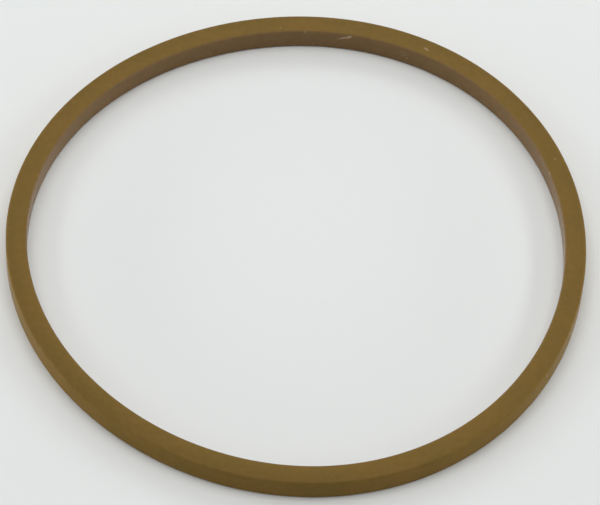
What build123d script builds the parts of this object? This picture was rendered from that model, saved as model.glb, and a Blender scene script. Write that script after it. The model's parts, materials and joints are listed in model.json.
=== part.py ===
from build123d import *
import os

# Seal ring of rectangular section, moulded in brown fluorocarbon rubber, in millimetres.
# It lies flat on its lower face, with +Z up along its axis.
# The origin is on the axis, at the height of the lower face.

# Driving dimensions
INNER_DIAMETER = 128.0  # across the inner wall, with the ring free
SECTION_WIDTH = 5.0  # radial, from the inner wall to the outer wall
SECTION_HEIGHT = 6.0  # axial, from the lower face to the upper face
INNER_EDGE_RADIUS = 0.5  # the two edges of the inner wall
OUTER_EDGE_RADIUS = 0.5  # the two edges of the outer wall


def ring_section():
    """The section beside the axis: four flat sides whose corners are tangent arcs."""
    inner_radius = INNER_DIAMETER / 2
    with BuildSketch(Plane.XZ) as section:
        with Locations((inner_radius, 0)):
            Rectangle(SECTION_WIDTH, SECTION_HEIGHT, align=(Align.MIN, Align.MIN))
        fillet(section.vertices().group_by(Axis.X)[0], INNER_EDGE_RADIUS)
        fillet(section.vertices().group_by(Axis.X)[-1], OUTER_EDGE_RADIUS)
    return section.sketch


def seal_ring():
    """One closed solid: the section turned once round the axis."""
    return revolve(ring_section(), Axis.Z)


os.makedirs("parts", exist_ok=True)
export_step(seal_ring(), "parts/seal_ring.step")
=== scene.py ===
import json
import math

import bpy
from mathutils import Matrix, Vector


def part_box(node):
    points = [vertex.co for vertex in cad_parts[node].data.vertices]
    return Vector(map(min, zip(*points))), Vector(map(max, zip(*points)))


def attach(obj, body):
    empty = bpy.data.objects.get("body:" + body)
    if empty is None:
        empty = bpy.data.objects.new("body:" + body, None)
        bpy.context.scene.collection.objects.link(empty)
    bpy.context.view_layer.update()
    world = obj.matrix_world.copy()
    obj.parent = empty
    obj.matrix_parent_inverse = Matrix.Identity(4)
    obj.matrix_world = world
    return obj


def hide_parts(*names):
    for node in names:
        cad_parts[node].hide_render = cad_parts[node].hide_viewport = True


# A seal ring of rectangular section, in brown fluorocarbon rubber, lying on a pale table.
# Lengths are in metres, and MM is one millimetre. A name that ends in _MM is in millimetres.

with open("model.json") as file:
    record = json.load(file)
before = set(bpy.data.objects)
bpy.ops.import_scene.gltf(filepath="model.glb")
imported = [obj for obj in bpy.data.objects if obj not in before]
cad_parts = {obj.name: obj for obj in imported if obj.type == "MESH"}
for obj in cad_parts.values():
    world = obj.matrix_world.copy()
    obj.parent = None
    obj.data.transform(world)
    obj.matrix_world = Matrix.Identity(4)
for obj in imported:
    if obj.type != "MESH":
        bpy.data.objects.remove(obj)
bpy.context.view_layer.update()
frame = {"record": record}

MM = 0.001

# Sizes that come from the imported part
mount_sizes = {mount["name"]: mount["dims"] for mount in frame["record"]["mounts"]}
ring_low, ring_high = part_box("seal_ring")
INNER_RADIUS = mount_sizes["bore"]["r_mm"] * MM
OUTER_RADIUS = mount_sizes["outer_wall"]["r_mm"] * MM
RING_HEIGHT = ring_high.z - ring_low.z
EDGE_RADIUS = (RING_HEIGHT - mount_sizes["bore"]["length_mm"] * MM) / 2
CENTRE_LINE = (INNER_RADIUS + OUTER_RADIUS) / 2
SECTION_WIDTH = OUTER_RADIUS - INNER_RADIUS

# A free rubber ring never lies quite round: this one has three shallow lobes.
LIE_LOBES = 3
LIE_DEPTH = 0.76 * MM
LIE_TURN = math.radians(52.8)

# How finely the ring is drawn
STEPS_ROUND = 720
STEPS_ON_AN_EDGE = 8
CUTS_ON_A_SIDE = 3
MERGE_REACH = 0.001 * MM

# Colours, as sRGB
RUBBER_BROWN = "775E31"
RUBBER_OLIVE = "725C2F"
# The inner wall's greyer brown is a painted reflection of the pale table inside the ring.
INNER_WALL_BROWN_GREYED_BY_PAINTED_REFLECTION = "735B3C"
RUBBED_PALE = "B09B80"
TABLE_WHITE = "E4E6E5"

# Grains of the rubber's patterns. The turning lines and the skin's grain are drawn coarser
# than real ones, so that they show.
CLOUD_MM = 9.0
MOTTLE_MM = 1.5
TURNING_LINE_MM = 0.35
SKIN_GRAIN_MM = 0.35
RAGGED_EDGE_MM = 0.45
TURNING_LINE_DEPTH = 0.012 * MM
SKIN_GRAIN_DEPTH = 0.02 * MM

# The range that most of a noise lies in, and the part of it over which brown turns to olive
NOISE_LOW = 0.3
NOISE_HIGH = 0.7
OLIVE_BEGINS = 0.35
OLIVE_FULL = 0.65

# The mottle's darkest and palest tone, as shares of the compound's own
MOTTLE_DARKEST = 0.97
MOTTLE_PALEST = 1.05

# Satin: the roughness of the smoothest and the roughest clouds, and what rubbing adds to it
SMOOTHEST = 0.2
ROUGHEST = 0.28
RUBBING_ROUGHENS = 0.3

# Gloss of the faces and of the inner wall, and what the outer wall has less
RUBBER_IOR = 1.4
FACE_SHINE = 0.045
INNER_WALL_SHINE = 0.09
OUTER_WALL_DULLED = 0.03

# Painted shade: the upper face is darker toward its outer edge, least away from the shaded side, and most
# on it, the near left, which faces the tent's dark front.
SHADED_SIDE = (-0.57, -0.82, 0.0)
LEAST_DARKENED = 0.07
MOST_DARKENED = 0.15

# Where the darkening begins and is full, across the section from its middle
DARKENING_BEGINS = -0.5 * SECTION_WIDTH
DARKENING_FULL = 0.4 * SECTION_WIDTH

# Where the painted shade's growth begins and is full, from the ring's axis toward the shaded side
SIDE_SHADE_BEGINS = 0.4 * CENTRE_LINE
SIDE_SHADE_FULL = 0.9 * CENTRE_LINE

# Marks on the rubber: centre in mm, half-lengths in mm, turn and rise of the long side
# in degrees, strength
MARKS = {
    "scuff_inside_the_far_wall": ((8.0, 63.5, 4.45), (1.8, 1.4, 0.42), -8, 26, 0.55),
    "end_of_the_scuff": ((9.3, 63.3, 5.0), (1.0, 1.4, 0.5), -8, 34, 0.8),
    "nick_on_the_upper_face": ((28.5, 60.2, 6.0), (0.95, 0.4, 0.5), -40, 0, 0.42),
    "rubbed_inner_edge": ((59.1, 24.2, 5.8), (1.6, 0.3, 0.4), -67, 0, 0.6),
    "fleck_on_the_far_wall": ((23.9, 59.9, 2.5), (0.3, 0.5, 0.2), -22, 0, 0.6),
    "fleck_on_the_far_face": ((-7.6, 64.3, 6.0), (0.25, 0.2, 0.3), 0, 0, 0.6),
    "fleck_on_the_far_edge": ((-1.6, 63.6, 5.7), (0.3, 0.4, 0.2), 0, 0, 0.5),
    "fleck_low_on_the_wall": ((0.6, 63.7, 1.2), (0.3, 0.5, 0.2), 0, 0, 0.5),
    "fleck_on_the_right": ((60.5, 28.4, 6.0), (0.3, 0.2, 0.3), -60, 0, 0.5),
}

# A mark is full within the first of these distances and gone past the second, in half-lengths,
# once its ragged edge has added about 0.5.
MARK_FULL = 0.9
MARK_GONE = 1.5

# Dust: the rubber is filled with cells, each with room for one small fleck. The first share
# of them is clean, and past the second share a fleck has its full strength.
DUST_CELL_MM = 4.0
FLECK_FULL_MM = 0.08
FLECK_GONE_MM = 0.18
CLEAN_SHARE = 0.6
FULL_SHARE = 0.9
DUST_STRENGTH = 0.5

# The light tent: how far its cloth hangs from the ring's axis, and the size of its roof
TENT_REACH = 0.6
TENT_WIDTH = 2 * TENT_REACH
TENT_HEIGHT = 1.2
ROOF_PANEL_DEPTH = 0.4

# The bands of its walls that are lit: the height of the middle of each, and how tall it is
BANDS = {"strip": (0.06, 0.12), "low": (0.41, 0.18), "middle": (0.5, 0.4), "high": (0.95, 0.5)}

# How brightly the tent's panels glow, in watts per square metre
WALL_GLOWS = [
    ("left", "strip", 21.2),
    ("left", "low", 7.4),
    ("left", "high", 3.1),
    ("right", "strip", 17.8),
    ("right", "low", 8.9),
    ("right", "high", 1.1),
    ("back", "middle", 5.1),
]
ROOF_GLOW = 12.2
BACK_ROOF_GLOW = 5.1

# The room round the tent, as a share of plain white
ROOM_GLOW = 0.01

# The table's half-width, and where it begins to turn into the backdrop, which is full at the cloth
TABLE_REACH = 6.0
BACKDROP_BEGINS = 0.2

# The photograph's view, fitted to the ring's outline
CAMERA_ELEVATION = math.radians(53.6)
CAMERA_ROLL = math.radians(3.32)
CAMERA_DISTANCE = 15.4 * CENTRE_LINE
CAMERA_AIM = Vector((0.0054, 0.0058, 0.0)) * CENTRE_LINE
SENSOR_WIDTH_MM = 36.0
FOCAL_LENGTH_MM = 7.149 * SENSOR_WIDTH_MM


def linear(hex_colour):
    """An sRGB hex colour as linear RGBA."""
    channels = [int(hex_colour[i:i + 2], 16) / 255 for i in (0, 2, 4)]
    return [c / 12.92 if c <= 0.04045 else ((c + 0.055) / 1.055) ** 2.4 for c in channels] + [1.0]


def add(tree, kind, inputs=None, **settings):
    """Adds a node. An input takes a plain value, or the output of another node."""
    node = tree.nodes.new(kind)
    for name, value in settings.items():
        setattr(node, name, value)
    for key, value in (inputs or {}).items():
        if isinstance(value, bpy.types.NodeSocket):
            tree.links.new(value, node.inputs[key])
        else:
            node.inputs[key].default_value = value
    return node


def new_material(name):
    """A material with an empty node tree and its output."""
    material = bpy.data.materials.new(name)
    material.use_nodes = True
    material.node_tree.nodes.clear()
    return material, material.node_tree, add(material.node_tree, "ShaderNodeOutputMaterial")


def noise(tree, place, grain_mm, detail=2.0):
    """Noise whose largest grains are about this size."""
    pattern = {"Vector": place, "Scale": 1 / (grain_mm * MM), "Detail": detail}
    return add(tree, "ShaderNodeTexNoise", pattern).outputs[0]


def ranged(tree, value, from_low, from_high, to_low=0.0, to_high=1.0):
    """A value brought smoothly from one range to another, and kept inside it."""
    ends = {"From Min": from_low, "From Max": from_high, "To Min": to_low, "To Max": to_high}
    node = add(tree, "ShaderNodeMapRange", {"Value": value, **ends}, interpolation_type="SMOOTHSTEP")
    return node.outputs[0]


def maths(tree, operation, first, second=0.0):
    """One operation on one or two numbers."""
    return add(tree, "ShaderNodeMath", {0: first, 1: second}, operation=operation).outputs[0]


def mixed(tree, amount, first, second):
    """Two colours mixed. The node keeps its colours in inputs 6 and 7 and output 2."""
    return add(tree, "ShaderNodeMix", {0: amount, 6: first, 7: second}, data_type="RGBA").outputs[2]


def dust(tree, place):
    """How far the skin is covered by flecks of dust, from 0 to 1."""
    cells = add(tree, "ShaderNodeTexVoronoi", {"Vector": place, "Scale": 1 / (DUST_CELL_MM * MM)}).outputs
    fleck = ranged(tree, cells["Distance"], FLECK_GONE_MM / DUST_CELL_MM, FLECK_FULL_MM / DUST_CELL_MM)
    chance = add(tree, "ShaderNodeSeparateColor", {0: cells["Color"]}).outputs[0]
    strength = ranged(tree, chance, CLEAN_SHARE, FULL_SHARE, 0.0, DUST_STRENGTH)
    return maths(tree, "MULTIPLY", fleck, strength)


def rubbed(tree, place):
    """How far the skin is scuffed, nicked or flecked with dust, from 0 to 1."""
    ragged = noise(tree, place, RAGGED_EDGE_MM)
    total = dust(tree, place)
    for centre, half_lengths, turn, rise, strength in MARKS.values():
        spot = add(tree, "ShaderNodeMapping", {
            "Vector": place,
            "Location": [value * MM for value in centre],
            "Rotation": (0.0, math.radians(-rise), math.radians(turn)),
            "Scale": [value * MM for value in half_lengths],
        }, vector_type="TEXTURE").outputs[0]
        away = add(tree, "ShaderNodeVectorMath", {0: spot}, operation="LENGTH").outputs["Value"]
        mark = ranged(tree, maths(tree, "ADD", away, ragged), MARK_GONE, MARK_FULL, 0.0, strength)
        total = maths(tree, "MAXIMUM", total, mark)
    return total


def rubber_colour(tree, place, radial, inner_wall, cloud):
    """The compound's browns: a little cloudy, and greyer on the inner wall, a painted reflection of the
    pale table inside the ring. The upper face carries painted shade toward its outer edge.
    """
    olive = ranged(tree, cloud, OLIVE_BEGINS, OLIVE_FULL)
    brown = mixed(tree, olive, linear(RUBBER_BROWN), linear(RUBBER_OLIVE))
    # Painted reflection: the inner wall turns to a greyer brown, as if it mirrored the pale table.
    compound = mixed(tree, inner_wall, brown, linear(INNER_WALL_BROWN_GREYED_BY_PAINTED_REFLECTION))

    # Painted shade: the upper face darkened toward its outer edge, most toward the near left
    outward = ranged(tree, radial, DARKENING_BEGINS, DARKENING_FULL)
    height = add(tree, "ShaderNodeSeparateXYZ", {0: place}).outputs["Z"]
    on_top = ranged(tree, height, RING_HEIGHT - EDGE_RADIUS, RING_HEIGHT)
    toward = add(tree, "ShaderNodeVectorMath", {0: place, 1: SHADED_SIDE}, operation="DOT_PRODUCT").outputs
    side_shade = ranged(tree, toward["Value"], SIDE_SHADE_BEGINS, SIDE_SHADE_FULL, LEAST_DARKENED, MOST_DARKENED)
    darkening = maths(tree, "MULTIPLY", maths(tree, "MULTIPLY", outward, on_top), side_shade)

    grain = noise(tree, place, MOTTLE_MM)
    mottle = ranged(tree, grain, NOISE_LOW, NOISE_HIGH, MOTTLE_DARKEST, MOTTLE_PALEST)
    tone = maths(tree, "SUBTRACT", mottle, darkening)
    return add(tree, "ShaderNodeHueSaturation", {"Value": tone, "Color": compound}).outputs[0]


def rubber_skin(tree, place, across):
    """The skin's relief: a fine grain, and the lines of the turned mould, which follow the ring."""
    grain = noise(tree, place, SKIN_GRAIN_MM)
    fine = add(tree, "ShaderNodeBump", {"Height": grain, "Distance": SKIN_GRAIN_DEPTH}).outputs[0]
    along_section = maths(tree, "ADD", across["X"], across["Y"])
    pattern = {"W": along_section, "Scale": 1 / (TURNING_LINE_MM * MM), "Detail": 1.0}
    lines = add(tree, "ShaderNodeTexNoise", pattern, noise_dimensions="1D").outputs[0]
    relief = {"Height": lines, "Distance": TURNING_LINE_DEPTH, "Normal": fine}
    return add(tree, "ShaderNodeBump", relief).outputs[0]


def fluorocarbon_rubber():
    """Fluorocarbon rubber, moulded: a satin, slightly cloudy brown. The inner wall keeps some of
    the core's shine, and the outer wall, which was trimmed, is the most matt."""
    material, tree, output = new_material("moulded_fluorocarbon_rubber")
    place = add(tree, "ShaderNodeTexCoord").outputs["Object"]
    section = add(tree, "ShaderNodeAttribute", attribute_name="section_place").outputs["Vector"]
    across = add(tree, "ShaderNodeSeparateXYZ", {0: section}).outputs
    inner_wall = ranged(tree, across["X"], EDGE_RADIUS - SECTION_WIDTH / 2, -SECTION_WIDTH / 2)
    outer_wall = ranged(tree, across["X"], SECTION_WIDTH / 2 - EDGE_RADIUS, SECTION_WIDTH / 2)
    cloud = noise(tree, place, CLOUD_MM, 3.0)
    marks = rubbed(tree, place)

    compound = rubber_colour(tree, place, across["X"], inner_wall, cloud)
    satin = ranged(tree, cloud, NOISE_LOW, NOISE_HIGH, SMOOTHEST, ROUGHEST)
    roughened = maths(tree, "MULTIPLY", marks, RUBBING_ROUGHENS)
    shine = ranged(tree, inner_wall, 0.0, 1.0, FACE_SHINE, INNER_WALL_SHINE)
    dulled = maths(tree, "MULTIPLY", outer_wall, OUTER_WALL_DULLED)
    rubber = add(tree, "ShaderNodeBsdfPrincipled", {
        "Base Color": mixed(tree, marks, compound, linear(RUBBED_PALE)),
        "Roughness": maths(tree, "ADD", satin, roughened),
        "IOR": RUBBER_IOR,
        "Specular IOR Level": maths(tree, "SUBTRACT", shine, dulled),
        "Normal": rubber_skin(tree, place, across),
    })
    tree.links.new(rubber.outputs["BSDF"], output.inputs["Surface"])
    return material


def lobed_line(tree, given):
    """The ring's centre line: a circle whose points move in and out by the lobes."""
    circle = add(tree, "GeometryNodeCurvePrimitiveCircle",
                 {"Resolution": STEPS_ROUND, "Radius": given["Centre Line Radius"]})
    point = add(tree, "GeometryNodeInputPosition").outputs[0]
    axes = add(tree, "ShaderNodeSeparateXYZ", {0: point}).outputs
    bearing = maths(tree, "ARCTAN2", axes["Y"], axes["X"])
    lobes = maths(tree, "MULTIPLY", maths(tree, "SUBTRACT", bearing, given["Lobe Turn"]), given["Lobes"])
    swell = maths(tree, "MULTIPLY", maths(tree, "COSINE", lobes), given["Lobe Depth"])
    outward = add(tree, "ShaderNodeVectorMath", {0: point}, operation="NORMALIZE").outputs[0]
    shift = add(tree, "ShaderNodeVectorMath", {0: outward, "Scale": swell}, operation="SCALE").outputs[0]
    line = add(tree, "GeometryNodeSetPosition", {"Geometry": circle.outputs["Curve"], "Offset": shift})
    return add(tree, "GeometryNodeSetCurveNormal", {"Curve": line.outputs[0]}, mode="Z_UP").outputs[0]


def softened_section(tree, given):
    """The rectangular section with rounded edges. Each point notes its place, for the rubber to read."""
    blank = add(tree, "GeometryNodeCurvePrimitiveQuadrilateral",
                {"Width": given["Section Width"], "Height": given["Section Height"]})
    cut = add(tree, "GeometryNodeSubdivideCurve", {"Curve": blank.outputs[0], "Cuts": CUTS_ON_A_SIDE})
    rounding = {"Curve": cut.outputs[0], "Count": STEPS_ON_AN_EDGE, "Radius": given["Edge Radius"]}
    section = add(tree, "GeometryNodeFilletCurve", rounding, mode="POLY")
    place = add(tree, "GeometryNodeInputPosition").outputs[0]
    note = {"Geometry": section.outputs[0], "Name": "section_place", "Value": place}
    noted = add(tree, "GeometryNodeStoreNamedAttribute", note, data_type="FLOAT_VECTOR", domain="POINT")
    return noted.outputs[0]


def ring_tree(material):
    """Node tree that sweeps the softened section round the ring's own line."""
    tree = bpy.data.node_groups.new("seal_ring_sweep", "GeometryNodeTree")
    sizes = {
        "Centre Line Radius": CENTRE_LINE,
        "Section Width": SECTION_WIDTH,
        "Section Height": RING_HEIGHT,
        "Edge Radius": EDGE_RADIUS,
        "Lobes": LIE_LOBES,
        "Lobe Depth": LIE_DEPTH,
        "Lobe Turn": LIE_TURN,
    }
    for name, value in sizes.items():
        socket = tree.interface.new_socket(name, in_out="INPUT", socket_type="NodeSocketFloat")
        socket.default_value = value
    tree.interface.new_socket("Geometry", in_out="OUTPUT", socket_type="NodeSocketGeometry")
    given = add(tree, "NodeGroupInput").outputs

    curves = {"Curve": lobed_line(tree, given), "Profile Curve": softened_section(tree, given)}
    swept = add(tree, "GeometryNodeCurveToMesh", curves).outputs[0]
    seam = {"Geometry": swept, "Distance": MERGE_REACH}
    closed = add(tree, "GeometryNodeMergeByDistance", seam).outputs[0]
    half_height = maths(tree, "MULTIPLY", given["Section Height"], 0.5)
    rise = add(tree, "ShaderNodeCombineXYZ", {"Z": half_height}).outputs[0]
    raised = add(tree, "GeometryNodeTransform", {"Geometry": closed, "Translation": rise}).outputs[0]
    real = add(tree, "GeometryNodeRealizeInstances", {"Geometry": raised}).outputs[0]
    painted = add(tree, "GeometryNodeSetMaterial", {"Geometry": real, "Material": material}).outputs[0]
    add(tree, "NodeGroupOutput", {0: painted})
    return tree


def plain_mesh(name, tree):
    """What a node tree makes, as an object with a plain mesh."""
    maker = bpy.data.objects.new(name + "_maker", bpy.data.meshes.new(name + "_maker"))
    bpy.context.scene.collection.objects.link(maker)
    maker.modifiers.new("nodes", "NODES").node_group = tree
    made = bpy.data.meshes.new_from_object(maker.evaluated_get(bpy.context.evaluated_depsgraph_get()))
    bpy.data.objects.remove(maker)
    piece = bpy.data.objects.new(name, made)
    bpy.context.scene.collection.objects.link(piece)
    return piece


def seal_ring():
    """The ring as it lies, standing for the CAD ring."""
    ring = plain_mesh("moulded_ring", ring_tree(fluorocarbon_rubber()))
    ring.data.shade_smooth()
    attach(ring, "root")
    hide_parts("seal_ring")


def seen_ray(tree):
    """1 for a ray that the camera sees, straight or in a gloss, and 0 for one that only gathers light."""
    rays = add(tree, "ShaderNodeLightPath").outputs
    mirrored = maths(tree, "MAXIMUM", rays["Is Glossy Ray"], rays["Is Transmission Ray"])
    return maths(tree, "MAXIMUM", rays["Is Camera Ray"], mirrored)


def table_top():
    """A table of matt white board. Far from the ring, where the tent's light ends, it is seen
    as a plain backdrop of its own white."""
    mesh = bpy.data.meshes.new("table_top")
    corners = [(x * TABLE_REACH, y * TABLE_REACH, 0) for x, y in ((-1, -1), (1, -1), (1, 1), (-1, 1))]
    mesh.from_pydata(corners, [], [(0, 1, 2, 3)])
    material, tree, output = new_material("matt_white_board")
    board = add(tree, "ShaderNodeBsdfDiffuse", {"Color": linear(TABLE_WHITE)})
    backdrop = add(tree, "ShaderNodeEmission", {"Color": linear(TABLE_WHITE), "Strength": 1.0})
    place = add(tree, "ShaderNodeTexCoord").outputs["Object"]
    away = add(tree, "ShaderNodeVectorMath", {0: place}, operation="LENGTH").outputs["Value"]
    far = maths(tree, "MULTIPLY", ranged(tree, away, BACKDROP_BEGINS, TENT_REACH), seen_ray(tree))
    seen = add(tree, "ShaderNodeMixShader", {0: far, 1: board.outputs[0], 2: backdrop.outputs[0]})
    tree.links.new(seen.outputs[0], output.inputs["Surface"])
    mesh.materials.append(material)
    table = bpy.data.objects.new("table_top", mesh)
    bpy.context.scene.collection.objects.link(table)


def panel(name, glow, centre, size, facing):
    """One soft panel of the light tent."""
    data = bpy.data.lights.new(name, "AREA")
    data.shape = "RECTANGLE"
    data.size, data.size_y = size
    data.energy = glow * size[0] * size[1]
    cloth = bpy.data.objects.new(name, data)
    cloth.location = centre
    cloth.rotation_mode = "QUATERNION"
    cloth.rotation_quaternion = (-Vector(facing)).to_track_quat("Z", "Y")
    cloth.visible_camera = False
    bpy.context.scene.collection.objects.link(cloth)


def light_tent():
    """A tent of white cloth, lit from outside: brightest above, and in a low strip at the two sides."""
    walls = {"left": (-1, 0), "right": (1, 0), "back": (0, 1)}
    for wall, band, glow in WALL_GLOWS:
        x, y = walls[wall]
        height, tall = BANDS[band]
        centre = (x * TENT_REACH, y * TENT_REACH, height)
        panel(f"{wall}_{band}_panel", glow, centre, (TENT_WIDTH, tall), (-x, -y, 0))
    roof_size = (TENT_WIDTH, ROOF_PANEL_DEPTH)
    panel("roof_panel", ROOF_GLOW, (0, 0, TENT_HEIGHT), roof_size, (0, 0, -1))
    panel("back_roof_panel", BACK_ROOF_GLOW, (0, ROOF_PANEL_DEPTH, TENT_HEIGHT), roof_size, (0, 0, -1))


def dim_room():
    """The room round the tent gives almost no light, and is seen as the table's white."""
    world = bpy.data.worlds.new("dim_room")
    world.use_nodes = True
    tree = world.node_tree
    tree.nodes.clear()
    room = add(tree, "ShaderNodeBackground", {"Color": (1.0, 1.0, 1.0, 1.0), "Strength": ROOM_GLOW})
    backdrop = add(tree, "ShaderNodeBackground", {"Color": linear(TABLE_WHITE), "Strength": 1.0})
    seen = add(tree, "ShaderNodeMixShader", {0: seen_ray(tree), 1: room.outputs[0], 2: backdrop.outputs[0]})
    add(tree, "ShaderNodeOutputWorld", {"Surface": seen.outputs[0]})
    bpy.context.scene.world = world


def camera():
    """The photograph's own view: a long lens, looking down at the ring from the front."""
    data = bpy.data.cameras.new("camera")
    data.sensor_width = SENSOR_WIDTH_MM
    data.lens = FOCAL_LENGTH_MM
    view = bpy.data.objects.new("camera", data)
    back = Vector((0.0, -math.cos(CAMERA_ELEVATION), math.sin(CAMERA_ELEVATION)))
    view.location = CAMERA_AIM + back * CAMERA_DISTANCE
    view.rotation_mode = "ZYX"
    view.rotation_euler = (math.pi / 2 - CAMERA_ELEVATION, 0.0, CAMERA_ROLL)
    bpy.context.scene.collection.objects.link(view)
    bpy.context.scene.camera = view


seal_ring()
table_top()
light_tent()
dim_room()
camera()
bpy.context.scene.view_settings.view_transform = "Standard"
